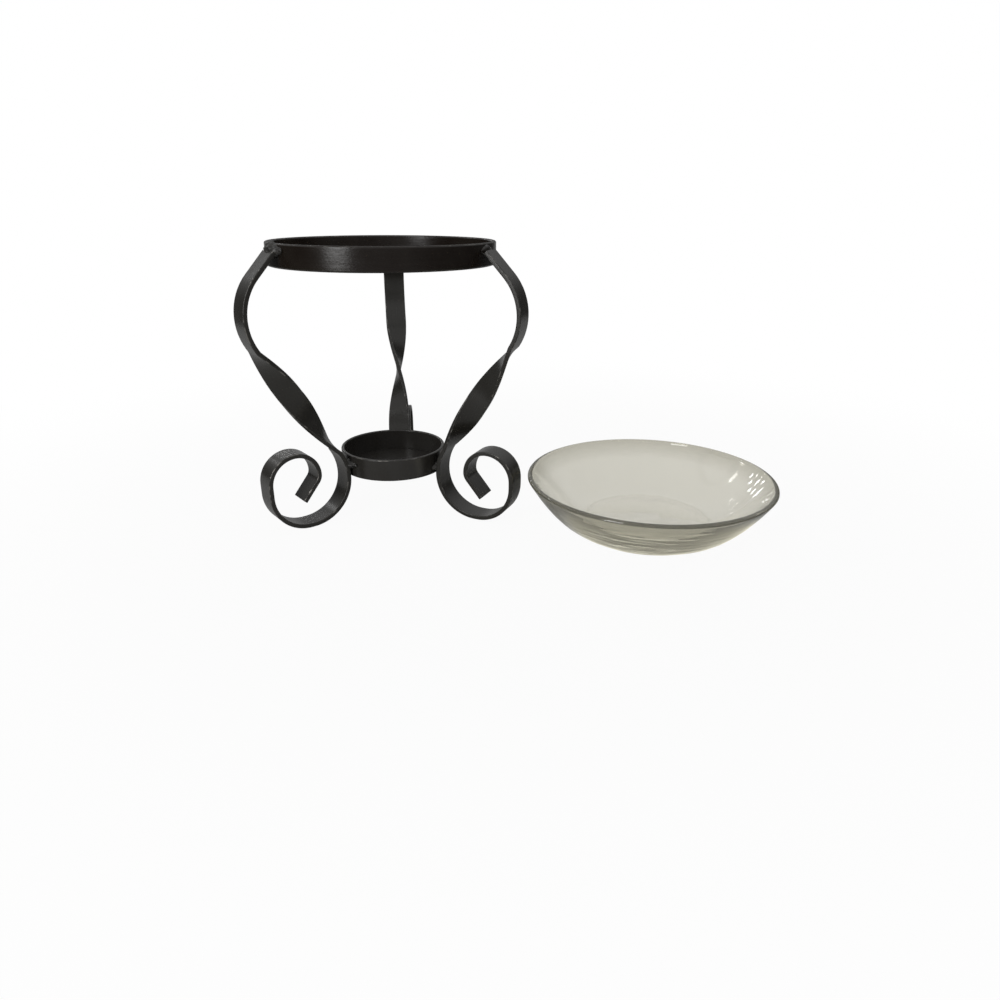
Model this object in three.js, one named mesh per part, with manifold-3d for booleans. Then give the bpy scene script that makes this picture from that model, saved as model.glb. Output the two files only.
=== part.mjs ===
// Oil warmer: a stand of flat iron bar with three twisted, scrolled legs, a ring that carries
// a dish of scented oil and a small cup for a tealight, with its clear glass dish set down beside it.
// Millimetres, +Z up. The stand is drawn round its own upright axis, and the finished set is moved
// so that the middle of its box stands over the origin, on the floor.
import * as THREE from 'three';
import { mergeVertices } from 'three/addons/utils/BufferGeometryUtils.js';
import Module from 'manifold-3d';

// Flat iron bar that the legs are bent from, as thick as the ring's
const BAR_WIDTH = 10.8;
const BAR_THICKNESS = 2;

// Top ring, a hoop of slightly narrower bar standing on edge
const STAND_HEIGHT = 127;
const RING_RADIUS = 51.3;
const RING_HEIGHT = 10;

// Candle cup, a thinner hoop closed by a disc, set a little below the legs' nearest point
const CUP_RADIUS = 25.5;
const CUP_WALL = 1.5;
const CUP_HEIGHT = 10.4;
const CUP_BELOW_CONTACT = 0.4;
const CUP_FLOOR_THICKNESS = 0.8;
const CUP_FLOOR_CLEARANCE = 0.3;

// Upper part of a leg, from its end on the ring over the belly to the twist
const LEG_END_BELOW_RING_TOP = 3.4;
const LEG_TOP_LEAN = 43;
const BELLY_BEYOND_RING = 16.9;
const BELLY_RADIUS = 24.8;
const TWIST = 180;

// Lower part of a leg: the bend that stands it upright against the cup, then the scroll,
// a row of quarter bends that tighten from the cup side round to the tail
const CUP_BEND_RADIUS = 23.1;
const SCROLL_CUP_SIDE_RADIUS = 19.6;
const FOOT_FLAT = 1.6;
const SCROLL_OUTSIDE_RADIUS = 17.4;
const SCROLL_TOP_RADIUS = 12.7;
const SCROLL_INSIDE_RADIUS = 11;
const CURL_RADIUS = 5.4;
const CURL_ANGLE = 40;
const TAIL_LENGTH = 11;

// The legs are bent by hand, so each has its own direction round the cup, its upper half and its
// scroll are turned a little from square (degrees), and its scroll stands a little taller or lower
const LEGS = [
  { name: 'rear', azimuth: 82.8, upperTurn: 7.7, scrollTurn: 2, scrollRise: 4 },
  { name: 'left', azimuth: 208.1, upperTurn: 2, scrollTurn: 2, scrollRise: 5.1 },
  { name: 'right', azimuth: 329.1, upperTurn: 1.3, scrollTurn: -2, scrollRise: 3.1 },
];

// Weld beads: the gap left at each joint, and the bead that fills it
const RING_WELD_GAP = 0.5;
const CUP_WELD_GAP = 0.9;
const WELD_CLEARANCE = 0.3;
const WELD_LAP = 1.5;
const RING_WELD_HEIGHT = 6;
const RING_WELD_DEPTH = 3.2;
const CUP_WELD_HEIGHT = 6.4;
const CUP_WELD_DEPTH = 3;
const CUP_WELD_ABOVE_CUP_BOTTOM = 3.8;

// Glass dish, and where it is set down: its direction from the stand and the room left to the legs
const DISH_RADIUS = 57.15;
const DISH_HEIGHT = 25.4;
const DISH_BASE_RADIUS = 29;
const DISH_WALL = 4;
const DISH_RIM = 2.4;
const DISH_FULLNESS = 0.54;
const DISH_DIRECTION = -22.1;
const DISH_GAP = 0.8;

// Fineness of the round shapes
const HOOP_SIDES = 96;
const CUP_SIDES = 64;
const DISH_SIDES = 64;
const DISH_WALL_STEPS = 8;
const RIM_STEPS = 6;
const BEND_STEP = 9;
const TWIST_STEPS = 24;
const BEAD_SIDES = 18;
const BEAD_BANDS = 10;

const IRON = { color: 0x2d2a26, roughness: 0.42, metalness: 0.55 };
const WELD = { color: 0x35312d, roughness: 0.5, metalness: 0.6 };
const GLASS = { color: 0xcfd3c8, roughness: 0.06, metalness: 0, transparent: true, opacity: 0.45 };

const radians = THREE.MathUtils.degToRad;
const degrees = THREE.MathUtils.radToDeg;
const wasm = await Module();
wasm.setup();

// Heights and reaches that several pieces share
const ringBottom = STAND_HEIGHT - RING_HEIGHT;
const legEndHeight = STAND_HEIGHT - LEG_END_BELOW_RING_TOP;
const legEndReach = RING_RADIUS + RING_WELD_GAP + BAR_THICKNESS / 2;
const bellyReach = RING_RADIUS + BELLY_BEYOND_RING;
const cupSideReach = CUP_RADIUS + CUP_WELD_GAP + BAR_THICKNESS / 2;
const contactHeight = BAR_THICKNESS / 2 + SCROLL_CUP_SIDE_RADIUS;
const cupBottom = contactHeight - CUP_BELOW_CONTACT;
const cupTop = cupBottom + CUP_HEIGHT;
const scrollReach = cupSideReach + SCROLL_CUP_SIDE_RADIUS + FOOT_FLAT + SCROLL_OUTSIDE_RADIUS;

const set = new THREE.Group();

function addPiece(name, geometry, finish) {
  const mesh = new THREE.Mesh(geometry, new THREE.MeshStandardMaterial(finish));
  mesh.name = name;
  set.add(mesh);
  return mesh;
}

// A body of revolution about the upright axis, from a closed outline of [radius, height] points
function turned(outline, sides) {
  const points = outline.map(([radius, height]) => new THREE.Vector2(radius, height));
  return new THREE.LatheGeometry(points, sides).rotateX(Math.PI / 2);
}

function hoop(outerRadius, wall, bottom, top, sides) {
  const innerRadius = outerRadius - wall;
  return turned([
    [innerRadius, bottom],
    [outerRadius, bottom],
    [outerRadius, top],
    [innerRadius, top],
    [innerRadius, bottom],
  ], sides);
}

// A disc, or a plug, about the upright axis
function disc(radius, bottom, top, sides) {
  return turned([[0, bottom], [radius, bottom], [radius, top], [0, top]], sides);
}

// The centre line of a bent bar in an upright plane. The heading is 0 going straight down,
// 90 going outwards and 180 going up, and the twist is how far the bar has been turned about itself.
class CentreLine {
  constructor(reach, height, heading) {
    this.stations = [{ reach, height, heading, twist: 0 }];
  }

  get end() {
    return this.stations[this.stations.length - 1];
  }

  go(length, twist = 0, steps = 1) {
    const start = this.end;
    const angle = radians(start.heading);
    for (let step = 1; step <= steps; step += 1) {
      const share = step / steps;
      this.stations.push({
        reach: start.reach + length * share * Math.sin(angle),
        height: start.height - length * share * Math.cos(angle),
        heading: start.heading,
        twist: start.twist + twist * share,
      });
    }
  }

  bend(radius, angle) {
    const start = this.end;
    const towards = Math.sign(angle) * radius;
    const centreReach = start.reach + towards * Math.cos(radians(start.heading));
    const centreHeight = start.height + towards * Math.sin(radians(start.heading));
    const steps = Math.max(1, Math.round(Math.abs(angle) / BEND_STEP));
    for (let step = 1; step <= steps; step += 1) {
      const heading = start.heading + angle * step / steps;
      this.stations.push({
        reach: centreReach - towards * Math.cos(radians(heading)),
        height: centreHeight - towards * Math.sin(radians(heading)),
        heading,
        twist: start.twist,
      });
    }
  }
}

// The twisted stretch runs straight from the belly's bend to the bend at the cup, so it is the
// line that touches both circles and crosses between them
function twistedStretch(bellyHeight) {
  const across = cupSideReach + CUP_BEND_RADIUS - (bellyReach - BELLY_RADIUS);
  const down = contactHeight - bellyHeight;
  const apart = Math.hypot(across, down);
  const radii = BELLY_RADIUS + CUP_BEND_RADIUS;
  return {
    heading: degrees(Math.atan2(down, across) + Math.acos(radii / apart)),
    length: Math.sqrt(apart * apart - radii * radii),
  };
}

function legCentreLine(scrollRise) {
  const lean = radians(LEG_TOP_LEAN);
  const topReach = bellyReach - BELLY_RADIUS * (1 - Math.cos(lean)) - legEndReach;
  const topLength = topReach / Math.sin(lean);
  const bellyHeight = legEndHeight - topLength * Math.cos(lean) - BELLY_RADIUS * Math.sin(lean);
  const stretch = twistedStretch(bellyHeight);
  const line = new CentreLine(legEndReach, legEndHeight, LEG_TOP_LEAN);
  line.go(topLength);
  line.bend(BELLY_RADIUS, stretch.heading - LEG_TOP_LEAN);
  line.go(stretch.length, TWIST, TWIST_STEPS);
  line.bend(CUP_BEND_RADIUS, -stretch.heading);
  line.end.atCup = true;
  line.bend(SCROLL_CUP_SIDE_RADIUS, 90);
  line.go(FOOT_FLAT);
  line.bend(SCROLL_OUTSIDE_RADIUS, 90);
  line.go(scrollRise);
  line.bend(SCROLL_TOP_RADIUS, 90);
  line.bend(SCROLL_INSIDE_RADIUS, 90);
  line.bend(CURL_RADIUS, CURL_ANGLE);
  line.go(TAIL_LENGTH);
  return line.stations;
}

// Sets the centre line up in space: each station gets its place, the way outwards and sideways
// there, and the direction of the bar. The line is carried by its place against the cup.
function placeLeg(leg) {
  const stations = legCentreLine(leg.scrollRise);
  const walk = new THREE.Vector3();
  let reached = stations[0].reach;
  for (const station of stations) {
    const shareOfTwist = station.twist / TWIST;
    const turn = leg.azimuth + leg.upperTurn + (leg.scrollTurn - leg.upperTurn) * shareOfTwist;
    const heading = radians(station.heading);
    station.out = new THREE.Vector3(Math.cos(radians(turn)), Math.sin(radians(turn)), 0);
    station.side = new THREE.Vector3(-station.out.y, station.out.x, 0);
    station.along = station.out.clone().multiplyScalar(Math.sin(heading)).setZ(-Math.cos(heading));
    station.normal = station.out.clone().multiplyScalar(Math.cos(heading)).setZ(Math.sin(heading));
    walk.addScaledVector(station.out, station.reach - reached);
    reached = station.reach;
    station.place = walk.clone().setZ(station.height);
  }
  const contact = stations.find((station) => station.atCup);
  const azimuth = radians(leg.azimuth);
  const shift = new THREE.Vector3(Math.cos(azimuth), Math.sin(azimuth), 0).multiplyScalar(cupSideReach);
  shift.sub(contact.place).setZ(0);
  stations.forEach((station) => station.place.add(shift));
  return { stations, end: stations[0], contact };
}

// A bar of rectangular section along placed stations, run past both ends by the overrun
function barBody(stations, width, thickness, overrun) {
  const corners = [[1, 1], [-1, 1], [-1, -1], [1, -1]];
  const positions = [];
  const faces = [];
  stations.forEach((station, index) => {
    const twist = radians(station.twist);
    const wide = station.side.clone().multiplyScalar(Math.cos(twist));
    wide.addScaledVector(station.normal, -Math.sin(twist)).multiplyScalar(width / 2);
    const thick = station.side.clone().multiplyScalar(Math.sin(twist));
    thick.addScaledVector(station.normal, Math.cos(twist)).multiplyScalar(thickness / 2);
    const place = station.place.clone();
    if (index === 0) place.addScaledVector(station.along, -overrun);
    if (index === stations.length - 1) place.addScaledVector(station.along, overrun);
    for (const [acrossWidth, acrossThickness] of corners) {
      const corner = place.clone().addScaledVector(wide, acrossWidth).addScaledVector(thick, acrossThickness);
      positions.push(corner.x, corner.y, corner.z);
    }
    if (index === 0) return;
    const before = (index - 1) * corners.length;
    for (let side = 0; side < corners.length; side += 1) {
      const a = before + side;
      const b = before + (side + 1) % corners.length;
      faces.push(a, b, b + corners.length, a, b + corners.length, a + corners.length);
    }
  });
  const last = (stations.length - 1) * corners.length;
  faces.push(0, 2, 1, 0, 3, 2);
  faces.push(last, last + 1, last + 2, last, last + 2, last + 3);
  const geometry = new THREE.BufferGeometry();
  geometry.setAttribute('position', new THREE.Float32BufferAttribute(positions, 3));
  geometry.setIndex(faces);
  return geometry;
}

function toSolid(geometry) {
  const bare = geometry.clone();
  bare.deleteAttribute('normal');
  bare.deleteAttribute('uv');
  const merged = mergeVertices(bare);
  return new wasm.Manifold(new wasm.Mesh({
    numProp: 3,
    vertProperties: new Float32Array(merged.attributes.position.array),
    triVerts: new Uint32Array(merged.index.array),
  }));
}

function toGeometry(solid) {
  const mesh = solid.getMesh();
  const geometry = new THREE.BufferGeometry();
  geometry.setAttribute('position', new THREE.BufferAttribute(new Float32Array(mesh.vertProperties), 3));
  geometry.setIndex(new THREE.BufferAttribute(new Uint32Array(mesh.triVerts), 1));
  geometry.computeVertexNormals();
  return geometry;
}

// A rounded bead against an upright hoop, hollowed to clear the hoop and the bar that it joins
function weldBead(place, hoopRadius, depth, height, barClear) {
  const length = BAR_WIDTH + 2 * WELD_LAP;
  const bead = new THREE.SphereGeometry(0.5, BEAD_SIDES, BEAD_BANDS).rotateX(Math.PI / 2);
  bead.scale(2 * depth, length, height);
  const azimuth = Math.atan2(place.y, place.x);
  bead.translate(hoopRadius, 0, 0).rotateZ(azimuth).translate(0, 0, place.z);
  const hoopClear = disc(hoopRadius + WELD_CLEARANCE, place.z - height, place.z + height, HOOP_SIDES);
  return toGeometry(toSolid(bead).subtract(toSolid(hoopClear)).subtract(barClear));
}

addPiece('top_ring', hoop(RING_RADIUS, BAR_THICKNESS, ringBottom, STAND_HEIGHT, HOOP_SIDES), IRON);

for (const leg of LEGS) {
  const { stations, end, contact } = placeLeg(leg);
  addPiece(`leg_${leg.name}`, barBody(stations, BAR_WIDTH, BAR_THICKNESS, 0).toNonIndexed(), IRON);
  const widthClear = BAR_WIDTH + 2 * WELD_CLEARANCE;
  const thicknessClear = BAR_THICKNESS + 2 * WELD_CLEARANCE;
  const barClear = toSolid(barBody(stations, widthClear, thicknessClear, WELD_CLEARANCE));
  const onRing = end.place.clone();
  const ringBead = weldBead(onRing, RING_RADIUS, RING_WELD_DEPTH, RING_WELD_HEIGHT, barClear);
  addPiece(`ring_weld_${leg.name}`, ringBead, WELD);
  const onCup = contact.place.clone().setZ(cupBottom + CUP_WELD_ABOVE_CUP_BOTTOM);
  const cupBead = weldBead(onCup, CUP_RADIUS, CUP_WELD_DEPTH, CUP_WELD_HEIGHT, barClear);
  addPiece(`cup_weld_${leg.name}`, cupBead, WELD);
}

addPiece('cup_wall', hoop(CUP_RADIUS, CUP_WALL, cupBottom, cupTop, CUP_SIDES), IRON);
const cupFloorRadius = CUP_RADIUS - CUP_WALL - CUP_FLOOR_CLEARANCE;
addPiece('cup_floor', disc(cupFloorRadius, cupBottom, cupBottom + CUP_FLOOR_THICKNESS, CUP_SIDES), IRON);

// Wall of the dish, which swells quickly from the flat base and then rises, thinning to a rounded rim
function dishOutline() {
  const rimBead = DISH_RIM / 2;
  const rimHeight = DISH_HEIGHT - rimBead;
  const rimMiddle = DISH_RADIUS - rimBead;
  const floorRadius = DISH_BASE_RADIUS - DISH_WALL / 2;
  const swell = (from, to, share) => from + (to - from) * share ** DISH_FULLNESS;
  const outline = [[0, 0], [DISH_BASE_RADIUS, 0]];
  for (let step = 1; step < DISH_WALL_STEPS; step += 1) {
    const share = (step / DISH_WALL_STEPS) ** 2;
    outline.push([swell(DISH_BASE_RADIUS, DISH_RADIUS, share), rimHeight * share]);
  }
  for (let step = 0; step <= RIM_STEPS; step += 1) {
    const angle = Math.PI * step / RIM_STEPS;
    outline.push([rimMiddle + rimBead * Math.cos(angle), rimHeight + rimBead * Math.sin(angle)]);
  }
  for (let step = DISH_WALL_STEPS - 1; step >= 0; step -= 1) {
    const share = (step / DISH_WALL_STEPS) ** 2;
    const height = DISH_WALL + (rimHeight - DISH_WALL) * share;
    outline.push([swell(floorRadius, DISH_RADIUS - DISH_RIM, share), height]);
  }
  outline.push([0, DISH_WALL]);
  return outline;
}

const dish = addPiece('glass_dish', turned(dishOutline(), DISH_SIDES), GLASS);
const standReach = Math.max(bellyReach, scrollReach) + BAR_THICKNESS / 2;
const dishDistance = standReach + DISH_GAP + DISH_RADIUS;
const dishDirection = radians(DISH_DIRECTION);
dish.position.set(dishDistance * Math.cos(dishDirection), dishDistance * Math.sin(dishDirection), 0);

// The middle of the whole set's box goes over the origin
set.updateMatrixWorld(true);
const middle = new THREE.Box3().setFromObject(set, true).getCenter(new THREE.Vector3());
set.position.set(-middle.x, -middle.y, 0);

export default set;
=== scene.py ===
# %% [markdown]
# # An oil warmer in bent iron bar and glass
# A small stand of flat iron bar holds a tealight in its cup and a dish of scented oil on its ring.
# Here the dish has been taken off and stands beside it. The measured model gives the main sizes and
# places, and this lesson makes the surfaces over it: rounded bar, lumpy welds, paint and glass.
# The model's own faces could be painted and softened, but bar that is bent again from its end, as a
# smith bends it, keeps its section true and lets the paint follow every bend and twist.

# %% Load the measured model
import math

import bmesh
import bpy
from mathutils import Matrix, Vector, noise


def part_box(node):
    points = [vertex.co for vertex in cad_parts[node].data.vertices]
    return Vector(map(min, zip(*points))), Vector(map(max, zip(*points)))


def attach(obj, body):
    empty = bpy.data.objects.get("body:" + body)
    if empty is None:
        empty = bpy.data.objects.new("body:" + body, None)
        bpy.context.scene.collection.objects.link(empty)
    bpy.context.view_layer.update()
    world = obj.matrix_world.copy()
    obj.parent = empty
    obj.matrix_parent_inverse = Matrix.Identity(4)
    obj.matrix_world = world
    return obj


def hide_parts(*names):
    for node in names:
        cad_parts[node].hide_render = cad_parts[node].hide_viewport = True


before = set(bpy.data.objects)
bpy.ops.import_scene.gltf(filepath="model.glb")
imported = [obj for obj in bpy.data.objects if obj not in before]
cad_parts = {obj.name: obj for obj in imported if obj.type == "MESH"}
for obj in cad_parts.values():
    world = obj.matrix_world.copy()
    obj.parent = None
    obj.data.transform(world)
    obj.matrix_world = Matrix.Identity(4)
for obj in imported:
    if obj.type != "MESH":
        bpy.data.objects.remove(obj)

MM = 0.001
UP = Vector((0, 0, 1))
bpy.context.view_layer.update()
print("nodes in the model:", len(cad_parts))

# %% [markdown]
# ## Reading the main sizes
# The ring, the cup and the dish are round, so the boxes of their nodes give their radii, heights
# and the upright axis that the stand is built round. The same numbers could be typed again here, but
# then a change in the model would pass by unseen. Only the section of the bar, the bends and the
# roundings have to be written in this file.

# %% Main sizes from the model
ring_low, ring_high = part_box("top_ring")
cup_low, cup_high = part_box("cup_wall")
dish_low, dish_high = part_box("glass_dish")
cup_floor_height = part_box("cup_floor")[0].z

stand_axis = Vector(((ring_low.x + ring_high.x) / 2, (ring_low.y + ring_high.y) / 2, 0))
dish_axis = Vector(((dish_low.x + dish_high.x) / 2, (dish_low.y + dish_high.y) / 2, 0))
ring_radius = (ring_high.x - ring_low.x) / 2
cup_radius = (cup_high.x - cup_low.x) / 2
dish_radius = (dish_high.x - dish_low.x) / 2
ring_width = ring_high.z - ring_low.z
cup_width = cup_high.z - cup_low.z

BAR_WIDTH = 10.8 * MM
BAR_THICKNESS = 2 * MM
CUP_WALL = 1.5 * MM
print(f"ring {ring_radius / MM:.1f}, cup {cup_radius / MM:.1f}, dish {dish_radius / MM:.1f} mm in radius")

# %% [markdown]
# ## Camera
# The camera stands in front of the stand, a little above the ring, and looks down and to the right,
# so that the stand is left of the middle of a square picture. A constraint could aim it at a target,
# but it is turned in the order that a tripod head turns, because each angle can then be set by
# itself: round the upright, then down, then a slight roll.

# %% Camera
CAMERA_FROM_AXIS = Vector((0, -350.69, 143.13)) * MM
CAMERA_TURN_RIGHT = math.radians(8.806)
CAMERA_TILT_DOWN = math.radians(22.36)
CAMERA_ROLL = math.radians(0.334)
CAMERA_LENS = 26.094
CAMERA_SENSOR = 36
CAMERA_NEAREST = 0.01

camera_data = bpy.data.cameras.new("camera")
camera_data.lens = CAMERA_LENS
camera_data.sensor_width = CAMERA_SENSOR
camera_data.clip_start = CAMERA_NEAREST
camera = bpy.data.objects.new("camera", camera_data)
pan = Matrix.Rotation(-CAMERA_TURN_RIGHT, 4, "Z")
tilt = Matrix.Rotation(math.pi / 2 - CAMERA_TILT_DOWN, 4, "X")
roll = Matrix.Rotation(CAMERA_ROLL, 4, "Z")
camera.matrix_world = Matrix.Translation(stand_axis + CAMERA_FROM_AXIS) @ pan @ tilt @ roll
bpy.context.scene.collection.objects.link(camera)
bpy.context.scene.camera = camera
bpy.context.scene.view_settings.view_transform = "Standard"
print("camera at", tuple(round(c, 3) for c in camera.location))

# %% [markdown]
# ## Writing shaders as sums
# A material is a web of nodes. It could be wired one node at a time, but that is slow to read, so one
# small class wraps a socket: adding, subtracting and multiplying it makes the Math nodes, and its
# node method makes every other kind of node from its settings and its inputs. A recipe then reads
# like the sum that it is.

# %% A socket that can be added and multiplied
class Signal:
    """The output of a node. Arithmetic on it adds Math nodes to the same tree."""

    def __init__(self, tree, socket=None):
        self.tree = tree
        self.socket = socket

    def node(self, kind, settings=None, inputs=None, output=0):
        made = self.tree.nodes.new(kind)
        for key, setting in (settings or {}).items():
            setattr(made, key, setting)
        for key, given in (inputs or {}).items():
            socket = made.inputs[key]
            if isinstance(given, Signal):
                self.tree.links.new(given.socket, socket)
            else:
                socket.default_value = (*given, 1) if socket.type == "RGBA" else given
        return Signal(self.tree, made.outputs[output] if made.outputs else None)

    def also(self, output):
        """Another output of the node that this one comes from."""
        return Signal(self.tree, self.socket.node.outputs[output])

    def math(self, operation, *values):
        return self.node("ShaderNodeMath", {"operation": operation}, dict(enumerate(values)))

    def __add__(self, other):
        return self.math("ADD", self, other)

    def __radd__(self, other):
        return self.math("ADD", other, self)

    def __sub__(self, other):
        return self.math("SUBTRACT", self, other)

    def __rsub__(self, other):
        return self.math("SUBTRACT", other, self)

    def __mul__(self, other):
        return self.math("MULTIPLY", self, other)

    def __rmul__(self, other):
        return self.math("MULTIPLY", other, self)

    def __abs__(self):
        return self.math("ABSOLUTE", self)

    def at_least(self, other):
        """The larger of the two."""
        return self.math("MAXIMUM", self, other)

    def between(self, low, high):
        """0 below low, 1 above high, and a smooth rise between them."""
        settings = {"interpolation_type": "SMOOTHSTEP"}
        return self.node("ShaderNodeMapRange", settings, {"Value": self, "From Min": low, "From Max": high})

    def noise(self, scale, detail=2.0, roughness=0.5):
        """Cloudy noise from 0 to 1 at this place. The scale is one number per axis, per metre."""
        place = self.node("ShaderNodeMapping", None, {"Vector": self, "Scale": scale})
        inputs = {"Vector": place, "Scale": 1.0, "Detail": detail, "Roughness": roughness}
        return self.node("ShaderNodeTexNoise", None, inputs)

    def vector(self, operation, *values, output=0):
        return self.node("ShaderNodeVectorMath", {"operation": operation}, dict(enumerate(values)), output)

    def seen_from(self, place):
        """This place as it lies from another one."""
        return self.vector("SUBTRACT", self, place)

    def along(self, direction):
        """How far this place lies along a direction."""
        return self.vector("DOT_PRODUCT", self, direction, output=1)

    def length(self):
        """How far this place is from zero."""
        return self.vector("LENGTH", self, output=1)

    def blend(self, first, second):
        """The first colour where this is 0 and the second where it is 1."""
        colours = {0: self, 6: first, 7: second}
        return self.node("ShaderNodeMix", {"data_type": "RGBA"}, colours, output=2)


print("shader sums are ready:", Signal.__doc__)

# %% [markdown]
# ## The start and the end of a recipe
# Every material here starts from an empty tree and ends at an output node. Blender's own first
# nodes could be kept and changed, but an empty tree has no leftovers.

# %% Starting and ending a material
def new_material(name):
    material = bpy.data.materials.new(name)
    material.use_nodes = True
    material.node_tree.nodes.clear()
    return material, Signal(material.node_tree)


def place_in_object(start):
    return start.node("ShaderNodeTexCoord", output=3)


def show(signal, kind="ShaderNodeOutputMaterial"):
    """Links a finished shader to the output of its material or world."""
    signal.node(kind, None, {"Surface": signal})


print("a material starts empty and ends with", show.__name__)

# %% [markdown]
# ## Black paint
# The iron has a brown-black paint with a soft gloss. On bent bar it isn't even: the bar was drawn
# through rollers, which leave fine lines along it that show in the highlights, the paint is cloudy
# and a little wavy, and it is rubbed through in places on the corners. A noise in space could give the
# clouds, but the lines have to follow the bar round its bends. So they read an attribute with each
# point's place in the bar before it was bent: across the width, the thickness and along the length.
# A hoop's lines run level all round, so there the place in space will do.

# %% Recipe of the paint
PAINT_GLOSS = 0.40
LINES_ACROSS = 1100
LINES_ALONG = 45
PAINT_CLOUDS = 55
PAINT_CHIPS = 330
PAINT_WAVES = 120
PAINT_PEEL = 1000
WAVES_TO_PEEL = 2.5
PAINT_RELIEF = 0.1 * MM
BARE_CORNER = (0.20, 0.19, 0.175)
BARE_METAL = 0.9
EDGE_OF_WIDTH = (0.445, 0.485)
EDGE_OF_THICKNESS = (0.25, 0.42)
CHIPPED = (0.50, 0.62)
RUBBED_CLOUDS = (0.38, 0.55)
TONE_CLOUDS = (0.30, 0.70)
PAINT_ROUGHNESS = 0.17
UNEVEN_ROUGHNESS = 0.08


def black_paint(name, width, thickness, lines, dark, light, relief, edge_roughness):
    """Paint on bar of this section. Its lines run along the bent bar or level round a hoop."""
    material, start = new_material(name)
    bar = start.node("ShaderNodeAttribute", {"attribute_name": "bar_place"}, output=1)
    space = place_in_object(start)
    if lines == "along the bar":
        drawn = bar.noise((LINES_ACROSS, LINES_ACROSS, LINES_ALONG), detail=3.0, roughness=0.6)
    else:
        drawn = space.noise((LINES_ALONG, LINES_ALONG, LINES_ACROSS), detail=3.0, roughness=0.6)
    clouds = space.noise((PAINT_CLOUDS,) * 3, detail=3.0, roughness=0.55)
    chips = space.noise((PAINT_CHIPS,) * 3, detail=3.0, roughness=0.6)
    waves = space.noise((PAINT_WAVES,) * 3)
    peel = space.noise((PAINT_PEEL,) * 3)
    across = bar.node("ShaderNodeSeparateXYZ", None, {"Vector": bar})
    edge = abs(across).between(*(share * width for share in EDGE_OF_WIDTH))
    corner = edge * abs(across.also("Y")).between(*(share * thickness for share in EDGE_OF_THICKNESS))
    bare = corner * chips.between(*CHIPPED) * clouds.between(*RUBBED_CLOUDS)
    tone = clouds.between(*TONE_CLOUDS).blend(dark, light)
    height = peel + drawn + WAVES_TO_PEEL * waves
    bump = start.node("ShaderNodeBump", None, {
        "Height": height, "Strength": relief, "Distance": PAINT_RELIEF})
    uneven = UNEVEN_ROUGHNESS * clouds + UNEVEN_ROUGHNESS * drawn
    show(start.node("ShaderNodeBsdfPrincipled", None, {
        "Base Color": bare.blend(tone, BARE_CORNER),
        "Metallic": BARE_METAL * bare,
        "Roughness": PAINT_ROUGHNESS + uneven + edge_roughness * edge,
        "Normal": bump,
        "Specular IOR Level": PAINT_GLOSS,
    }))
    return material


print("patches of cloudy paint:", round(1 / PAINT_CLOUDS / MM), "mm across")

# %% [markdown]
# The ring, the legs and the cup were painted alike, but they don't look alike under the light. So the
# three shades of one recipe are lit and shaded copies of one paint: the ring's darkest and brownest
# shade is painted shade over a browner tone, and the cup's lightest and greyest one is painted light
# that the cup mirrors from the floor in front of it. One material could do for all three, but the
# three shades come closer to how the real stand looks.

# %% Three shades of paint, lit and shaded copies
leg_paint = black_paint(
    "leg_paint", BAR_WIDTH, BAR_THICKNESS, lines="along the bar",
    dark=(0.0160, 0.0146, 0.0118), light=(0.0215, 0.0204, 0.0178), relief=0.32, edge_roughness=0.05)
# The ring's shade: painted shade over a browner tone
ring_paint_shaded = black_paint(
    "ring_paint_shaded", ring_width, BAR_THICKNESS, lines="round the hoop",
    dark=(0.0058, 0.0030, 0.0015), light=(0.0105, 0.0076, 0.0052), relief=0.30, edge_roughness=0.30)
# The cup's shade: painted light, mirrored from the floor in front
cup_paint_lit = black_paint(
    "cup_paint_lit", cup_width, CUP_WALL, lines="round the hoop",
    dark=(0.0190, 0.0172, 0.0148), light=(0.0240, 0.0228, 0.0208), relief=0.25, edge_roughness=0.10)
print("paint materials:", leg_paint.name, ring_paint_shaded.name, cup_paint_lit.name)

# %% [markdown]
# ## Paint over welds
# A weld is a bead of iron that ran and froze, so it is lumpy, and its colour is greyer on the lumps of
# its bump and darker between them. The lumps could be left to a bump in the material, but they show in
# the outline, so they are modelled later, and the material only adds the grain of the skin.

# %% Paint over weld metal
WELD_GREY = (0.030, 0.028, 0.025)
WELD_DARK = (0.008, 0.007, 0.006)
WELD_LUMPS = 700
WELD_GRAIN = 3500
GRAIN_TO_LUMPS = 0.4
WELD_TONES = (0.35, 0.65)
WELD_RELIEF = 0.2 * MM
WELD_BUMP = 0.5
WELD_GLOSS = 0.4
WELD_ROUGHNESS = 0.24
GRAIN_ROUGHNESS = 0.25


def weld_paint():
    material, start = new_material("weld_paint")
    space = place_in_object(start)
    lumps = space.noise((WELD_LUMPS,) * 3, detail=3.0, roughness=0.6)
    grain = space.noise((WELD_GRAIN,) * 3)
    height = lumps + GRAIN_TO_LUMPS * grain
    bump = start.node("ShaderNodeBump", None, {
        "Height": height, "Strength": WELD_BUMP, "Distance": WELD_RELIEF})
    show(start.node("ShaderNodeBsdfPrincipled", None, {
        "Base Color": lumps.between(*WELD_TONES).blend(WELD_DARK, WELD_GREY),
        "Roughness": WELD_ROUGHNESS + GRAIN_ROUGHNESS * grain,
        "Normal": bump,
        "Specular IOR Level": WELD_GLOSS,
    }))
    return material


weld_metal = weld_paint()
print("weld material:", weld_metal.name)
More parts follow.
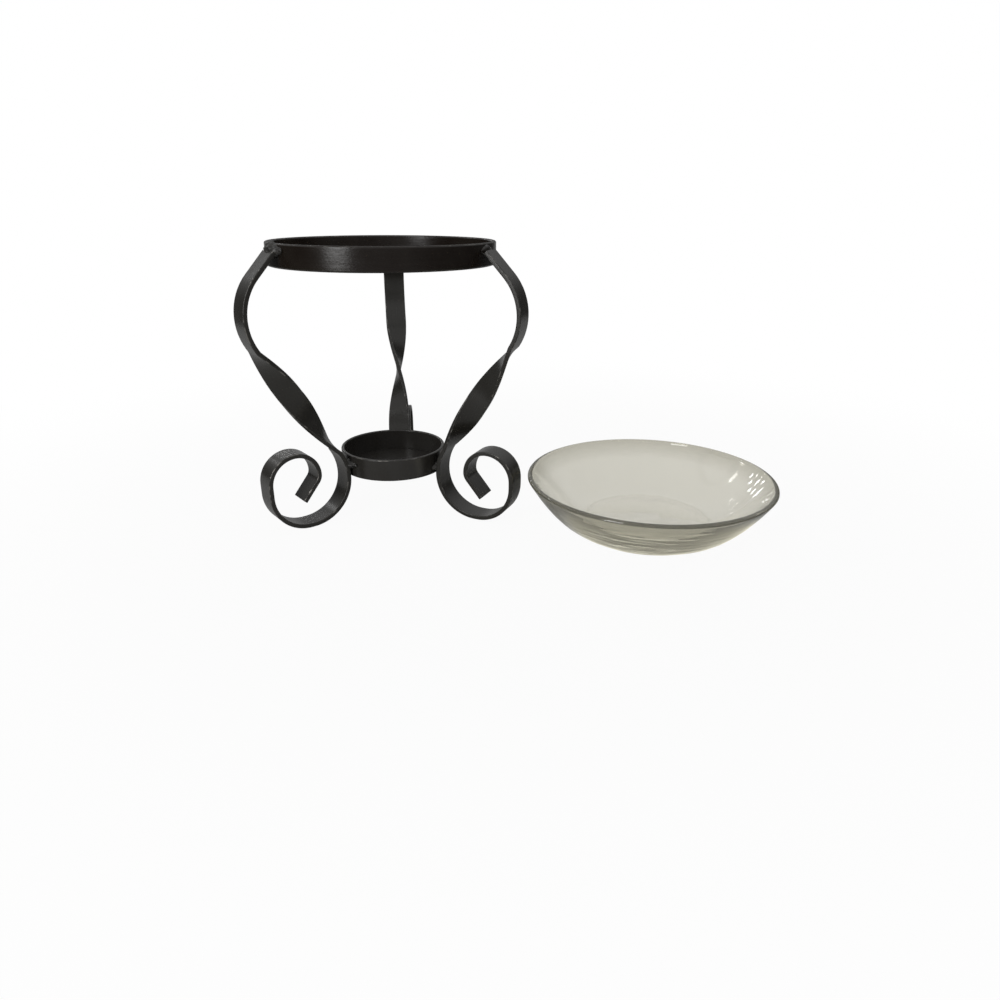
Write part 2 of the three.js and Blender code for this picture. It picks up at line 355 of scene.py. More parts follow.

# %% [markdown]
# ## Glass
# The dish is plain pressed glass. It isn't quite colourless: thick glass is a little grey-green, and
# light that leaves through the outside has gone through the whole wall. A volume inside the glass
# could take up the light with its depth, but it is slow and can't be baked into a picture. So the
# outside carries the tint instead, by an attribute that is 1 there and fades over the rim to the
# nearly clear inside. That tint is deeper than the glass's own grey-green: part of it is painted shade
# of the darker ground seen through the dish. Round the foot the front is painted lighter, a painted
# light where light falls through it, and the rippled side has darker streaks of painted shade where
# the mould left ripples.
# A soft bump bends what is seen through it, because pressed faces are never quite flat.

# %% Glass of the dish
INSIDE_TINT = (0.92, 0.905, 0.85)
OUTSIDE_TINT_AND_SHADE = (0.46, 0.445, 0.365)
LIT_FRONT_TINT = (0.62, 0.605, 0.505)
STREAK_SHADE_TINT = (0.40, 0.385, 0.30)
LIT_FRONT_SIDE = (-0.20, -0.98, 0)
LIT_FRONT_SPREAD = (0, 0.85)
STREAKY_SIDE = (-0.47, -0.88, 0)
STREAKY_SPREAD = (0.70, 0.90)
SHADE_STREAK_SCALE = (60, 60, 800)
STREAK_CONTRAST = (0.48, 0.62)
FOOT_RISES = (0, 2 * MM)
FOOT_FADES = (12 * MM, 21 * MM)
GLASS_CLEARNESS = 0.86
GLASS_ROUGHNESS = 0.015
GLASS_BENDS_LIGHT = 1.5
GLASS_WAVES = 45
GLASS_RELIEF = 1 * MM
GLASS_BUMP = 0.25


def dish_glass():
    material, start = new_material("clear_dish_glass")
    space = place_in_object(start)
    outside = start.node("ShaderNodeAttribute", {"attribute_name": "outside"}, output=2)
    from_axis = space.seen_from(dish_axis)
    outwards = space.vector("NORMALIZE", from_axis.vector("MULTIPLY", from_axis, (1, 1, 0)))
    height = from_axis.along(UP)
    foot = height.between(*FOOT_RISES) * (1 - height.between(*FOOT_FADES))
    # Painted light: the front of the foot is tinted lighter, where light falls through the glass
    front = outwards.along(LIT_FRONT_SIDE).between(*LIT_FRONT_SPREAD) * foot
    streaky = outwards.along(STREAKY_SIDE).between(*STREAKY_SPREAD) * foot
    # Painted shade: darker level streaks on the rippled side of the foot
    streaks = space.noise(SHADE_STREAK_SCALE).between(*STREAK_CONTRAST) * streaky
    tint = streaks.blend(front.blend(OUTSIDE_TINT_AND_SHADE, LIT_FRONT_TINT), STREAK_SHADE_TINT)
    waves = space.noise((GLASS_WAVES,) * 3)
    bump = start.node("ShaderNodeBump", None, {
        "Height": waves, "Strength": GLASS_BUMP, "Distance": GLASS_RELIEF})
    show(start.node("ShaderNodeBsdfPrincipled", None, {
        "Base Color": outside.blend(INSIDE_TINT, tint),
        "Roughness": GLASS_ROUGHNESS,
        "IOR": GLASS_BENDS_LIGHT,
        "Transmission Weight": GLASS_CLEARNESS,
        "Normal": bump,
    }))
    return material


dish_material = dish_glass()
print("glass material:", dish_material.name)

# %% [markdown]
# ## From mesh to piece
# Every piece ends the same way: its mesh gets its material and smooth shading, the object rides on
# one of the model's bodies, and it stands for the node that it was built from. Plain smooth shading
# would make flat bar look swollen, and flat shading would show the steps of its bends. So the
# normals are weighted by the size of the faces, which keeps wide faces flat and rounds the corners.

# %% Finishing a piece
def make_piece(bm, name, material, body, node):
    bmesh.ops.recalc_face_normals(bm, faces=bm.faces)
    mesh = bpy.data.meshes.new(name)
    bm.to_mesh(mesh)
    bm.free()
    mesh.materials.append(material)
    mesh.shade_smooth()
    piece = bpy.data.objects.new(name, mesh)
    bpy.context.scene.collection.objects.link(piece)
    weighting = piece.modifiers.new("flat faces stay flat", "WEIGHTED_NORMAL")
    weighting.mode = "FACE_AREA"
    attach(piece, body)
    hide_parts(node)
    print(f"{name}: {len(mesh.vertices)} vertices for {node}")


# %% [markdown]
# ## Flat bar
# Ring, legs and cup wall are all rolled flat bar, whose corners are slightly round. A box with a
# bevel could be stretched along each piece, but one section that is spun or extruded does for all of
# them. It starts as a square of one face, which is scaled to width and thickness and has its corners
# bevelled. An attribute on the vertices keeps the place in the bar for the paint.

# %% Section of the bar
CORNER_STEPS = 3


def bar_section(bm, width, thickness, corner):
    square = bmesh.ops.create_grid(bm, x_segments=1, y_segments=1, size=0.5)
    bmesh.ops.scale(bm, vec=(width, thickness, 1), verts=square["verts"])
    bmesh.ops.bevel(bm, geom=square["verts"], offset=corner, affect="VERTICES",
                    segments=CORNER_STEPS, profile=0.5, material=-1)
    bar_place = bm.verts.layers.float_vector.new("bar_place")
    for vert in bm.verts:
        vert[bar_place] = vert.co
    return bar_place


print(f"bar of {BAR_WIDTH / MM:.1f} by {BAR_THICKNESS / MM:.1f} mm")

# %% [markdown]
# ## Hoops
# The top ring and the cup's wall are bar rolled into a hoop, with rounded edges. A cylinder with a
# thickness could be used, but its four edges would need rounding later. So the section is stood on
# edge at the hoop's radius and spun once round the stand's axis, and the last turn is merged with
# the first. The ring's edges are rounder than the cup's and catch a softer line of light.

# %% Top ring and cup wall
RING_EDGE_ROUNDING = 0.8 * MM
CUP_EDGE_ROUNDING = 0.55 * MM
RING_STEPS = 192
CUP_STEPS = 128

# The section's width turns up and its thickness outwards
STOOD_ON_EDGE = Matrix(((0, 1, 0, 0), (0, 0, 1, 0), (1, 0, 0, 0), (0, 0, 0, 1)))


def hoop(radius, wall, low, high, rounding, steps):
    bm = bmesh.new()
    bar_section(bm, high - low, wall, rounding)
    place = Matrix.Translation(stand_axis + Vector((radius - wall / 2, 0, (low + high) / 2)))
    bmesh.ops.transform(bm, matrix=place @ STOOD_ON_EDGE, verts=bm.verts)
    section = bm.verts[:] + bm.edges[:]
    bmesh.ops.delete(bm, geom=bm.faces[:], context="FACES_ONLY")
    bmesh.ops.spin(bm, geom=section, cent=stand_axis, axis=UP, dvec=(0, 0, 0), angle=2 * math.pi,
                   steps=steps, use_merge=True, use_normal_flip=False, use_duplicate=False)
    return bm


ring_mesh = hoop(ring_radius, BAR_THICKNESS, ring_low.z, ring_high.z, RING_EDGE_ROUNDING, RING_STEPS)
make_piece(ring_mesh, "ring_hoop", ring_paint_shaded, "stand", "top_ring")
cup_mesh = hoop(cup_radius, CUP_WALL, cup_low.z, cup_high.z, CUP_EDGE_ROUNDING, CUP_STEPS)
make_piece(cup_mesh, "cup_hoop", cup_paint_lit, "stand", "cup_wall")

# %% [markdown]
# ## Floor of the cup
# A sheet disc closes the cup. A cylinder could stand in for it, but a circle that is extruded keeps
# one clean face on each side, and its edge is softened by a bevel. It reaches a little into the
# cup's wall, so that no light shows through the seam.

# %% Cup floor
FLOOR_EDGE = 0.12 * MM
FLOOR_SHEET = 0.35 * MM
FLOOR_INTO_WALL = 0.5 * MM


def cup_floor():
    bm = bmesh.new()
    bm.verts.layers.float_vector.new("bar_place")
    radius = cup_radius - CUP_WALL + FLOOR_INTO_WALL
    disc = bmesh.ops.create_circle(bm, cap_ends=True, radius=radius, segments=CUP_STEPS)
    bmesh.ops.translate(bm, vec=stand_axis + UP * cup_floor_height, verts=disc["verts"])
    grown = bmesh.ops.extrude_face_region(bm, geom=bm.faces[:], use_keep_orig=True)["geom"]
    raised = [part for part in grown if isinstance(part, bmesh.types.BMVert)]
    bmesh.ops.translate(bm, vec=UP * FLOOR_SHEET, verts=raised)
    # The rim is made of quads, so only the two round faces have more corners
    rims = [edge for edge in bm.edges if any(len(face.verts) > 4 for face in edge.link_faces)]
    bmesh.ops.bevel(bm, geom=rims, offset=FLOOR_EDGE, affect="EDGES", segments=2, profile=0.5, material=-1)
    return bm


make_piece(cup_floor(), "cup_disc", cup_paint_lit, "stand", "cup_floor")

# %% [markdown]
# ## Bending a bar
# A smith works a leg from one end: a straight run, a bend round a former, a twist, and so on. A curve
# with a bevelled outline could follow the same path, but it turns its section by rules of its own,
# and the half-turn twist needs an exact one. So the class does what the smith does with a mesh: its
# open end is a ring of edges, each move extrudes that ring and carries it on, and the class remembers
# where the end is and which way it points.

# %% A bar that is bent from its end
CORNER_RADIUS = 0.4 * MM
BEND_STEP = 4
TWIST_STEPS = 48


def about(place, turn):
    """A turn about a point instead of the origin."""
    return Matrix.Translation(place) @ turn @ Matrix.Translation(-place)


class BentBar:
    """Flat bar worked in an upright plane. Heading 0 goes straight down, 90 degrees goes outwards."""

    def __init__(self, azimuth, reach, height, heading):
        outwards = Vector((math.cos(azimuth), math.sin(azimuth), 0))
        self.side = UP.cross(outwards)
        self.along = outwards * math.sin(heading) - UP * math.cos(heading)
        self.place = outwards * reach + UP * height
        self.run_so_far = 0.0
        self.bm = bmesh.new()
        self.bar_place = bar_section(self.bm, BAR_WIDTH, BAR_THICKNESS, CORNER_RADIUS)
        self.end = self.bm.edges[:]
        frame_axes = Matrix((self.side, self.along.cross(self.side), self.along)).transposed().to_4x4()
        bmesh.ops.transform(self.bm, matrix=Matrix.Translation(self.place) @ frame_axes, verts=self.bm.verts)

    def carry_on(self, motion, length):
        """Extrudes the open end by a motion that takes this length of bar."""
        grown = bmesh.ops.extrude_edge_only(self.bm, edges=self.end)["geom"]
        self.end = [part for part in grown if isinstance(part, bmesh.types.BMEdge)]
        fresh = [part for part in grown if isinstance(part, bmesh.types.BMVert)]
        bmesh.ops.transform(self.bm, matrix=motion, verts=fresh)
        self.run_so_far += length
        for vert in fresh:
            vert[self.bar_place] = (*vert[self.bar_place][:2], self.run_so_far)
        self.place = motion @ self.place
        self.along = motion.to_3x3() @ self.along

    def run(self, length):
        self.carry_on(Matrix.Translation(self.along * length), length)

    def bend(self, radius, angle):
        """A bend round a former, outwards and up where the angle is positive."""
        steps = max(1, round(math.degrees(abs(angle)) / BEND_STEP))
        towards = math.copysign(radius, angle)
        centre = self.place + self.along.cross(self.side) * towards
        motion = about(centre, Matrix.Rotation(-angle / steps, 4, self.side))
        for _ in range(steps):
            self.carry_on(motion, radius * abs(angle) / steps)

    def twist(self, length, angle, swing):
        """A straight stretch that is wrung by the angle while its upright plane swings round a little."""
        step = length / TWIST_STEPS
        turn_of_plane = Matrix.Rotation(swing / TWIST_STEPS, 4, "Z")
        for _ in range(TWIST_STEPS):
            along = turn_of_plane.to_3x3() @ self.along
            self.side = turn_of_plane.to_3x3() @ self.side
            wring = Matrix.Rotation(-angle / TWIST_STEPS, 4, along)
            self.carry_on(Matrix.Translation(along * step) @ about(self.place, wring @ turn_of_plane), step)

    def close(self, rounding):
        """Closes the open end and takes the sharp edge off both cut ends."""
        bmesh.ops.edgeloop_fill(self.bm, edges=self.end)
        # The sides are quads, so only the ends have more corners
        cut_ends = [face for face in self.bm.faces if len(face.verts) > 4]
        rims = {edge for face in cut_ends for edge in face.edges}
        bmesh.ops.bevel(self.bm, geom=list(rims), offset=rounding, affect="EDGES", segments=2,
                        profile=0.5, material=-1, clamp_overlap=True)
        return self.bm


print("one step of a bend:", BEND_STEP, "degrees")

# %% [markdown]
# ## Legs
# Each leg starts at the ring, leans out, turns over the belly and runs straight and twisted by half
# a turn down to the cup. There it bends upright, stands against the cup, and rolls on into a scroll
# whose bends tighten towards the tail. The whole leg could be drawn as points, but a list of bends is
# shorter and each bend can be changed by itself. Where the twisted stretch starts and ends follows
# from the two bends that it joins, so it is worked out.

# %% Bends of a leg
LEG_END_BELOW_RING_TOP = 3.4 * MM
LEG_TOP_LEAN = math.radians(43)
BELLY_BEYOND_RING = 16.9 * MM
BELLY_RADIUS = 24.8 * MM
CUP_BEND_RADIUS = 23.1 * MM
SCROLL_CUP_SIDE_RADIUS = 19.6 * MM
RING_WELD_GAP = 0.5 * MM
CUP_WELD_GAP = 0.9 * MM

leg_end_height = ring_high.z - LEG_END_BELOW_RING_TOP
leg_end_reach = ring_radius + RING_WELD_GAP + BAR_THICKNESS / 2
belly_reach = ring_radius + BELLY_BEYOND_RING
cup_side_reach = cup_radius + CUP_WELD_GAP + BAR_THICKNESS / 2
contact_height = BAR_THICKNESS / 2 + SCROLL_CUP_SIDE_RADIUS
belly_start_reach = belly_reach - BELLY_RADIUS * (1 - math.cos(LEG_TOP_LEAN))
top_run = (belly_start_reach - leg_end_reach) / math.sin(LEG_TOP_LEAN)
belly_height = leg_end_height - top_run * math.cos(LEG_TOP_LEAN) - BELLY_RADIUS * math.sin(LEG_TOP_LEAN)

# The twisted stretch touches the circle of the belly and the circle of the bend at the cup
stretch_across = cup_side_reach + CUP_BEND_RADIUS - (belly_reach - BELLY_RADIUS)
stretch_down = contact_height - belly_height
stretch_apart = math.hypot(stretch_across, stretch_down)
stretch_radii = BELLY_RADIUS + CUP_BEND_RADIUS
stretch_heading = math.atan2(stretch_down, stretch_across) + math.acos(stretch_radii / stretch_apart)
stretch_length = math.sqrt(stretch_apart ** 2 - stretch_radii ** 2)
print(f"twisted stretch {stretch_length / MM:.1f} mm at {math.degrees(stretch_heading):.1f} degrees")

# %% [markdown]
# One leg could be made and copied twice round the axis. But the real ones were bent by hand, so each
# has its own direction, a slightly turned upper half and scroll, and its own height of scroll, and
# the bends are repeated with those four numbers changed. The leg is bent round the origin and then
# moved until it stands against the cup.

# %% Making the legs
TWIST = math.radians(180)
FOOT_FLAT = 1.6 * MM
SCROLL_OUTSIDE_RADIUS = 17.4 * MM
SCROLL_TOP_RADIUS = 12.7 * MM
SCROLL_INSIDE_RADIUS = 11 * MM
CURL_RADIUS = 5.4 * MM
CURL_ANGLE = math.radians(40)
TAIL_LENGTH = 11 * MM
CUT_END_ROUNDING = 0.25 * MM
QUARTER = math.pi / 2

# Angles in degrees, rise of the scroll in mm
LEGS = {
    "rear": {"azimuth": 82.8, "upper_turn": 7.7, "scroll_turn": 2.0, "scroll_rise": 4.0},
    "left": {"azimuth": 208.1, "upper_turn": 2.0, "scroll_turn": 2.0, "scroll_rise": 5.1},
    "right": {"azimuth": 329.1, "upper_turn": 1.3, "scroll_turn": -2.0, "scroll_rise": 3.1},
}
leg_ends = {}
leg_contacts = {}


def leg_bar(name, azimuth, upper_turn, scroll_turn, scroll_rise):
    upper = math.radians(azimuth + upper_turn)
    bar = BentBar(upper, leg_end_reach, leg_end_height, LEG_TOP_LEAN)
    leg_end = bar.place.copy()
    bar.run(top_run)
    bar.bend(BELLY_RADIUS, stretch_heading - LEG_TOP_LEAN)
    bar.twist(stretch_length, TWIST, math.radians(scroll_turn - upper_turn))
    bar.bend(CUP_BEND_RADIUS, -stretch_heading)
    contact = bar.place.copy()
    bar.bend(SCROLL_CUP_SIDE_RADIUS, QUARTER)
    bar.run(FOOT_FLAT)
    bar.bend(SCROLL_OUTSIDE_RADIUS, QUARTER)
    bar.run(scroll_rise * MM)
    bar.bend(SCROLL_TOP_RADIUS, QUARTER)
    bar.bend(SCROLL_INSIDE_RADIUS, QUARTER)
    bar.bend(CURL_RADIUS, CURL_ANGLE)
    bar.run(TAIL_LENGTH)
    bm = bar.close(CUT_END_ROUNDING)
    square_on = Vector((math.cos(math.radians(azimuth)), math.sin(math.radians(azimuth)), 0))
    shift = stand_axis + square_on * cup_side_reach - contact
    shift.z = 0
    bmesh.ops.translate(bm, vec=shift, verts=bm.verts)
    leg_ends[name] = leg_end + shift
    leg_contacts[name] = contact + shift
    print(f"leg {name}: {bar.run_so_far / MM:.0f} mm of bar")
    return bm


for leg_name, leg in LEGS.items():
    leg_mesh = leg_bar(leg_name, **leg)
    make_piece(leg_mesh, f"leg_bar_{leg_name}", leg_paint, "stand", f"leg_{leg_name}")

# %% [markdown]
# ## Weld beads
# A bead lies between the bar and the hoop, longest along the joint. It could be sculpted, but a
# sphere can be stretched along the joint, drawn out to two tips and have its skin pushed in and out
# by noise, so that it looks run and frozen. The part inside the hoop's wall is pressed flat against it.

# %% Shape of a bead
WELD_SINK = 0.4 * MM
LUMP_SIZE = 1.5 * MM
TIP_SHARPNESS = 0.3
TIP_END = 1.02
BEAD_SUBDIVISIONS = 5


def on_hoop(place, hoop_radius, shift, height):
    """Frame on a hoop's outside, shifted along it from the place: X outwards, Y along, Z up."""
    from_axis = place - stand_axis
    azimuth = math.atan2(from_axis.y, from_axis.x) + shift / hoop_radius
    level = Matrix.Translation(stand_axis + UP * height)
    return level @ Matrix.Rotation(azimuth, 4, "Z") @ Matrix.Translation((hoop_radius, 0, 0))


def weld_bead(place, hoop_radius, joint_height, length, depth, height, shift, rise, lumps):
    bm = bmesh.new()
    ball = bmesh.ops.create_icosphere(bm, subdivisions=BEAD_SUBDIVISIONS, radius=1)["verts"]
    for vert in ball:
        taper = ((TIP_END - abs(vert.co.y)) / (TIP_END + abs(vert.co.y))) ** TIP_SHARPNESS
        vert.co.x *= taper
        vert.co.z *= taper
    bmesh.ops.scale(bm, vec=(depth * MM, length / 2 * MM, height / 2 * MM), verts=ball)
    seat = on_hoop(place, hoop_radius, shift * MM, joint_height + rise * MM)
    bmesh.ops.transform(bm, matrix=seat, verts=ball)
    bm.normal_update()
    outwards = seat.to_3x3() @ Vector((1, 0, 0))
    for vert in bm.verts:
        vert.co += vert.normal * lumps * MM * noise.noise(vert.co / LUMP_SIZE)
        inside = hoop_radius - WELD_SINK - (vert.co - stand_axis).to_2d().length
        if inside > 0:
            vert.co += outwards * inside
    return bm


print(f"lumps of a bead: {LUMP_SIZE / MM:.1f} mm apart")

# %% [markdown]
# Every bead was laid by hand, so no two are alike: each has its own length along the hoop, depth and
# height, its own shift from the joint's middle, and lumps of its own depth. One bead could be copied
# six times, but the differences are what shows them to be hand work. The one on the right of the
# ring is nearly flush and went under the ring's own paint, and two on the cup sit off the middle.

# %% Laying the beads
# All in mm
RING_BEADS = {
    "rear": {"length": 13.8, "depth": 2.6, "height": 6.0, "shift": 0.0, "rise": 0.0, "lumps": 0.6},
    "left": {"length": 16.0, "depth": 3.4, "height": 6.5, "shift": 0.4, "rise": 0.8, "lumps": 0.7},
    "right": {"length": 11.6, "depth": 1.3, "height": 5.0, "shift": 0.0, "rise": 0.3, "lumps": 0.15},
}
CUP_BEADS = {
    "rear": {"length": 13.8, "depth": 3.0, "height": 6.4, "shift": 0.0, "rise": 3.8, "lumps": 0.5},
    "left": {"length": 13.0, "depth": 3.4, "height": 4.6, "shift": 2.4, "rise": 6.2, "lumps": 0.6},
    "right": {"length": 12.0, "depth": 3.0, "height": 5.4, "shift": -1.2, "rise": 3.2, "lumps": 0.6},
}
FLUSH_BEAD = "right"

for leg_name in LEGS:
    leg_end = leg_ends[leg_name]
    bead = weld_bead(leg_end, ring_radius, leg_end.z, **RING_BEADS[leg_name])
    # The flush bead takes the ring's shade, painted shade included
    skin = ring_paint_shaded if leg_name == FLUSH_BEAD else weld_metal
    make_piece(bead, f"ring_bead_{leg_name}", skin, "stand", f"ring_weld_{leg_name}")
    bead = weld_bead(leg_contacts[leg_name], cup_radius, cup_low.z, **CUP_BEADS[leg_name])
    make_piece(bead, f"cup_bead_{leg_name}", weld_metal, "stand", f"cup_weld_{leg_name}")

# %% [markdown]
# ## Glass dish
# The dish is a body of revolution: a flat base, a wall that swells quickly and then rises, thinning to
# a rounded rim, and an inside that follows it. Two bowls could be cut from each other, but glass shows
# every flaw of its mesh. So one outline is drawn, and later it is spun round the dish's axis. The
# steps are closest at the foot, where the wall turns most, and many on the outside, for its ripples.

# %% Outline of the dish
DISH_BASE_RADIUS = 29 * MM
DISH_WALL = 4 * MM
DISH_RIM = 2.4 * MM
DISH_FULLNESS = 0.54
OUTER_WALL_STEPS = 96
INNER_WALL_STEPS = 28
DISH_RIM_STEPS = 12

rim_bead = DISH_RIM / 2
rim_height = dish_high.z - rim_bead
bowl_floor_radius = DISH_BASE_RADIUS - DISH_WALL / 2


def wall_point(share, foot_radius, foot_height, top_radius):
    """A point of a wall that swells quickly from its foot and then rises to the rim."""
    swell = share ** DISH_FULLNESS
    radius = foot_radius + (top_radius - foot_radius) * swell
    return radius, foot_height + (rim_height - foot_height) * share


def dish_outline():
    """Points of the outside, from the base to the outer rim, and then of the inside."""
    outer = [(0, 0), (DISH_BASE_RADIUS / 2, 0), (DISH_BASE_RADIUS, 0)]
    for step in range(1, OUTER_WALL_STEPS):
        share = (step / OUTER_WALL_STEPS) ** 2
        outer.append(wall_point(share, DISH_BASE_RADIUS, 0, dish_radius))
    inner = []
    for step in range(DISH_RIM_STEPS + 1):
        angle = math.pi * step / DISH_RIM_STEPS
        rim_radius = dish_radius - rim_bead + rim_bead * math.cos(angle)
        inner.append((rim_radius, rim_height + rim_bead * math.sin(angle)))
    for step in range(INNER_WALL_STEPS - 1, -1, -1):
        share = (step / INNER_WALL_STEPS) ** 2
        inner.append(wall_point(share, bowl_floor_radius, DISH_WALL, dish_radius - DISH_RIM))
    inner += [(bowl_floor_radius / 2, DISH_WALL), (0, DISH_WALL)]
    return outer, inner


print("points in the dish's outline:", sum(len(side) for side in dish_outline()))

# %% [markdown]
# The outside was pressed in a mould and left a little rippled round its foot, most of all towards the
# front, in short level streaks that bend the light. A bump in the material would leave the outline
# and the light inside the glass as they were. So noise that is stretched round the dish moves the
# wall itself in and out there. An attribute tells the glass which points lie outside, and it fades
# over the rim, because light that comes out at the rim has run through the wall.

# %% Spin of the dish
DISH_STEPS = 200
SAME_POINT = 1e-6
RIM_TINT_FADE = 8 * MM
RIM_TINT_ABOVE = 2 * DISH_WALL
RIPPLE_DEPTH = 0.4 * MM
RIPPLE_LENGTH = 14 * MM
RIPPLE_HEIGHT = 1.3 * MM
RIPPLES_UP_TO = 24 * MM


def ripple(place):
    """How far the mould's ripples push the outside out at this height."""
    level = Vector((place.x / RIPPLE_LENGTH, place.y / RIPPLE_LENGTH, place.z / RIPPLE_HEIGHT))
    fade = min(1, place.z / RIPPLE_HEIGHT) * max(0, 1 - place.z / RIPPLES_UP_TO)
    facing = (place - dish_axis).normalized().dot(Vector(STREAKY_SIDE))
    return RIPPLE_DEPTH * fade * max(0, facing) * noise.noise(level)


def glass_dish():
    bm = bmesh.new()
    is_outside = bm.verts.layers.float.new("outside")
    outer, inner = dish_outline()
    verts = [bm.verts.new(dish_axis + Vector((radius, 0, height))) for radius, height in outer + inner]
    for vert in verts[:len(outer)]:
        vert[is_outside] = 1
    for vert in verts[len(outer):]:
        share = (dish_radius - (vert.co.x - dish_axis.x)) / RIM_TINT_FADE
        vert[is_outside] = max(0, 1 - share) if vert.co.z > RIM_TINT_ABOVE else 0
    edges = [bm.edges.new(pair) for pair in zip(verts, verts[1:])]
    bmesh.ops.spin(bm, geom=verts + edges, cent=dish_axis, axis=UP, dvec=(0, 0, 0), angle=2 * math.pi,
                   steps=DISH_STEPS, use_merge=True, use_normal_flip=False, use_duplicate=False)
    bmesh.ops.remove_doubles(bm, verts=bm.verts, dist=SAME_POINT)
    for vert in bm.verts:
        if vert[is_outside] == 1 and vert.co.z > 0:
            level = (vert.co - dish_axis) * Vector((1, 1, 0))
            vert.co += level.normalized() * ripple(vert.co)
    return bm


make_piece(glass_dish(), "dish_bowl", dish_material, "dish", "glass_dish")

# %% [markdown]
# ## Floor
# The set stands on a plain pale floor that runs out of sight. More lamps could make it white, but
# they would bleach the pieces too. So the floor is grey paper for the light, and glows white for the
# camera and for what is seen through glass. Near the pieces a little of the paper is left, so that
# their shadows show. In the black bar it is nearly all paper, or the bar would look pale from below.
# Under the front of the dish, light comes down through the glass and gathers on the floor, which a
# renderer doesn't follow well. There the mirrored floor is about as bright as the white one, in the
# tint of the glass.

# %% Material of the floor
WHITE = (1, 1, 1)
FLOOR_PAPER = (0.47, 0.47, 0.465)
GLOW_NEAR = 0.95
GLOW_FADE = (0.10, 0.42)
GLOW_IN_METAL = 0.05
GLOW_UNDER_DISH = 0.95
DISH_EDGE = (0.9 * dish_radius, 1.1 * dish_radius)
TOWARDS_FRONT = (0, -1, 0)
FRONT_OF_DISH = (-5 * MM, 20 * MM)
LIGHT_UNDER_DISH = (1.0, 0.96, 0.78)


def white_floor():
    material, start = new_material("white_floor")
    space = place_in_object(start)
    camera_ray = start.node("ShaderNodeLightPath")
    through_glass = camera_ray.also("Is Transmission Ray")
    glossy = camera_ray.also("Is Glossy Ray")
    mirrored = glossy * (1 - through_glass)
    from_dish = space.seen_from(dish_axis)
    under_dish = 1 - from_dish.length().between(*DISH_EDGE)
    under_dish = under_dish * from_dish.along(TOWARDS_FRONT).between(*FRONT_OF_DISH)
    light = (under_dish * mirrored).blend(WHITE, LIGHT_UNDER_DISH)
    in_mirrors = (GLOW_IN_METAL + GLOW_UNDER_DISH * under_dish) * glossy
    seen = camera_ray.at_least(through_glass).at_least(in_mirrors)
    glow_share = (GLOW_NEAR + (1 - GLOW_NEAR) * space.length().between(*GLOW_FADE)) * seen
    paper = start.node("ShaderNodeBsdfDiffuse", None, {"Color": FLOOR_PAPER})
    glow = start.node("ShaderNodeEmission", None, {"Color": light, "Strength": 1.0})
    show(start.node("ShaderNodeMixShader", None, {0: glow_share, 1: paper, 2: glow}))
    return material


floor_material = white_floor()
print("floor material:", floor_material.name)

# %% [markdown]
# The floor itself is one flat card, as a photographer lays it out, with more of it in front of the
# pieces than behind. A huge plane could be used, but past the card's edge the white room takes over
# without a seam. It lies a hair below the feet, so that no face of theirs fights with it.

# %% White card
CARD_WIDTH = 0.95
CARD_LENGTH = 1.60
CARD_IN_FRONT = 0.30
FLOOR_BELOW_FEET = 0.2 * MM

floor_mesh = bpy.data.meshes.new("floor")
floor_bm = bmesh.new()
bmesh.ops.create_grid(floor_bm, x_segments=1, y_segments=1, size=0.5)
bmesh.ops.scale(floor_bm, vec=(CARD_WIDTH, CARD_LENGTH, 1), verts=floor_bm.verts)
bmesh.ops.translate(floor_bm, vec=(0, -CARD_IN_FRONT, -FLOOR_BELOW_FEET), verts=floor_bm.verts)
floor_bm.to_mesh(floor_mesh)
floor_bm.free()
floor_mesh.materials.append(floor_material)
floor = bpy.data.objects.new("floor", floor_mesh)
bpy.context.scene.collection.objects.link(floor)
print("white card", CARD_WIDTH, "by", CARD_LENGTH, "m")

# %% [markdown]
# ## Room
# Paint as dark as this shows little but what it mirrors: here a dim room whose ceiling grows light
# towards the top, and a paler wall behind. A picture of a room could be used, but one smooth rise of
# brightness is enough and gives even highlights. For the camera and through glass the room is plain
# white, as the floor is.

# %% White world
ROOM_GLOW = 0.06
CEILING_GLOW = 0.62
CEILING_SIDE = (0, -0.17, 0.985)
CEILING_RISE = (0, 0.45)
BACKDROP_IN_METAL = 0.5
BACKDROP_SIDE = (0, 1, 0)
BACKDROP_RISE = (0.80, 0.97)


def white_world():
    world = bpy.data.worlds.new("white_studio")
    world.use_nodes = True
    world.node_tree.nodes.clear()
    start = Signal(world.node_tree)
    direction = start.node("ShaderNodeTexCoord")
    room = ROOM_GLOW + CEILING_GLOW * direction.along(CEILING_SIDE).between(*CEILING_RISE)
    backdrop = BACKDROP_IN_METAL * direction.along(BACKDROP_SIDE).between(*BACKDROP_RISE)
    camera_ray = start.node("ShaderNodeLightPath")
    seen_white = camera_ray.at_least(camera_ray.also("Is Transmission Ray"))
    strength = seen_white.at_least(room.at_least(backdrop))
    show(start.node("ShaderNodeBackground", None, {"Color": WHITE, "Strength": strength}),
         "ShaderNodeOutputWorld")
    return world


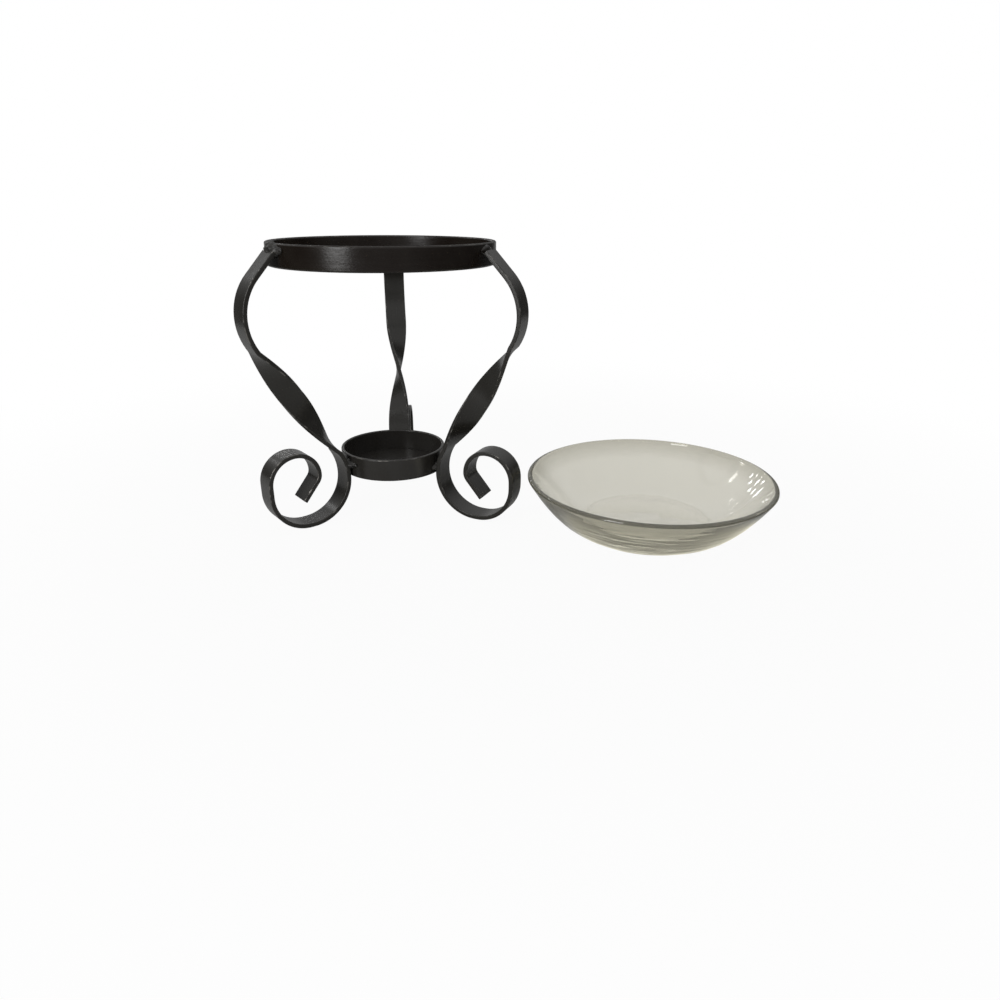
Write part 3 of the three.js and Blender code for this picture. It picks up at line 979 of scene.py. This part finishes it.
bpy.context.scene.world = white_world()
print("world:", bpy.context.scene.world.name)

# %% [markdown]
# ## Lamps
# Three lights draw the highlights: a tall soft strip at the left front, which makes the upright
# shine on the ring, a small window behind on the left, which lights the tops of the scrolls, and a
# window of nine panes far behind, which is mirrored as a grid in the dish. Points of light could be
# used, but flat lamps are mirrored in their own shape, as windows are.

# %% Soft lights
def soft_light(name, azimuth, elevation, distance, width, height, radiance):
    """An upright area light, seen from between the two pieces in this direction."""
    lamp = bpy.data.lights.new(name, "AREA")
    lamp.shape = "RECTANGLE"
    lamp.size = width
    lamp.size_y = height
    lamp.energy = radiance * math.pi * width * height
    light = bpy.data.objects.new(name, lamp)
    around = math.radians(azimuth)
    level = Vector((math.cos(around), math.sin(around), 0)) * distance
    light.location = level + UP * distance * math.tan(math.radians(elevation))
    light.rotation_euler = (-level).to_track_quat("-Z", "Y").to_euler()
    light.visible_camera = False
    bpy.context.scene.collection.objects.link(light)
    print(f"{name}: {lamp.energy:.1f} W")


soft_light("left_strip", azimuth=224, elevation=24, distance=1.0, width=0.30, height=0.75, radiance=7.5)
soft_light("rear_window", azimuth=142, elevation=30, distance=1.4, width=0.12, height=0.12, radiance=12.0)

# %% [markdown]
# The far window is seen askew, so its rows and columns both drop to one side. Each pane is a lamp of
# its own. One lamp with bars in front could do the same, but the bars would be in every view.

# %% Window of nine panes
# Angles in degrees
PANES_A_SIDE = 3
FIRST_PANE = {"azimuth": 121, "elevation": 26}
NEXT_COLUMN = {"azimuth": -4.6, "elevation": -4.0}
NEXT_ROW = {"azimuth": -6.3, "elevation": -2.2}
PANE = {"distance": 4.0, "width": 0.12, "height": 0.10, "radiance": 12.0}

for row in range(PANES_A_SIDE):
    for column in range(PANES_A_SIDE):
        towards = {}
        for angle in FIRST_PANE:
            towards[angle] = FIRST_PANE[angle] + NEXT_COLUMN[angle] * column + NEXT_ROW[angle] * row
        soft_light(f"pane_{row}_{column}", **towards, **PANE)
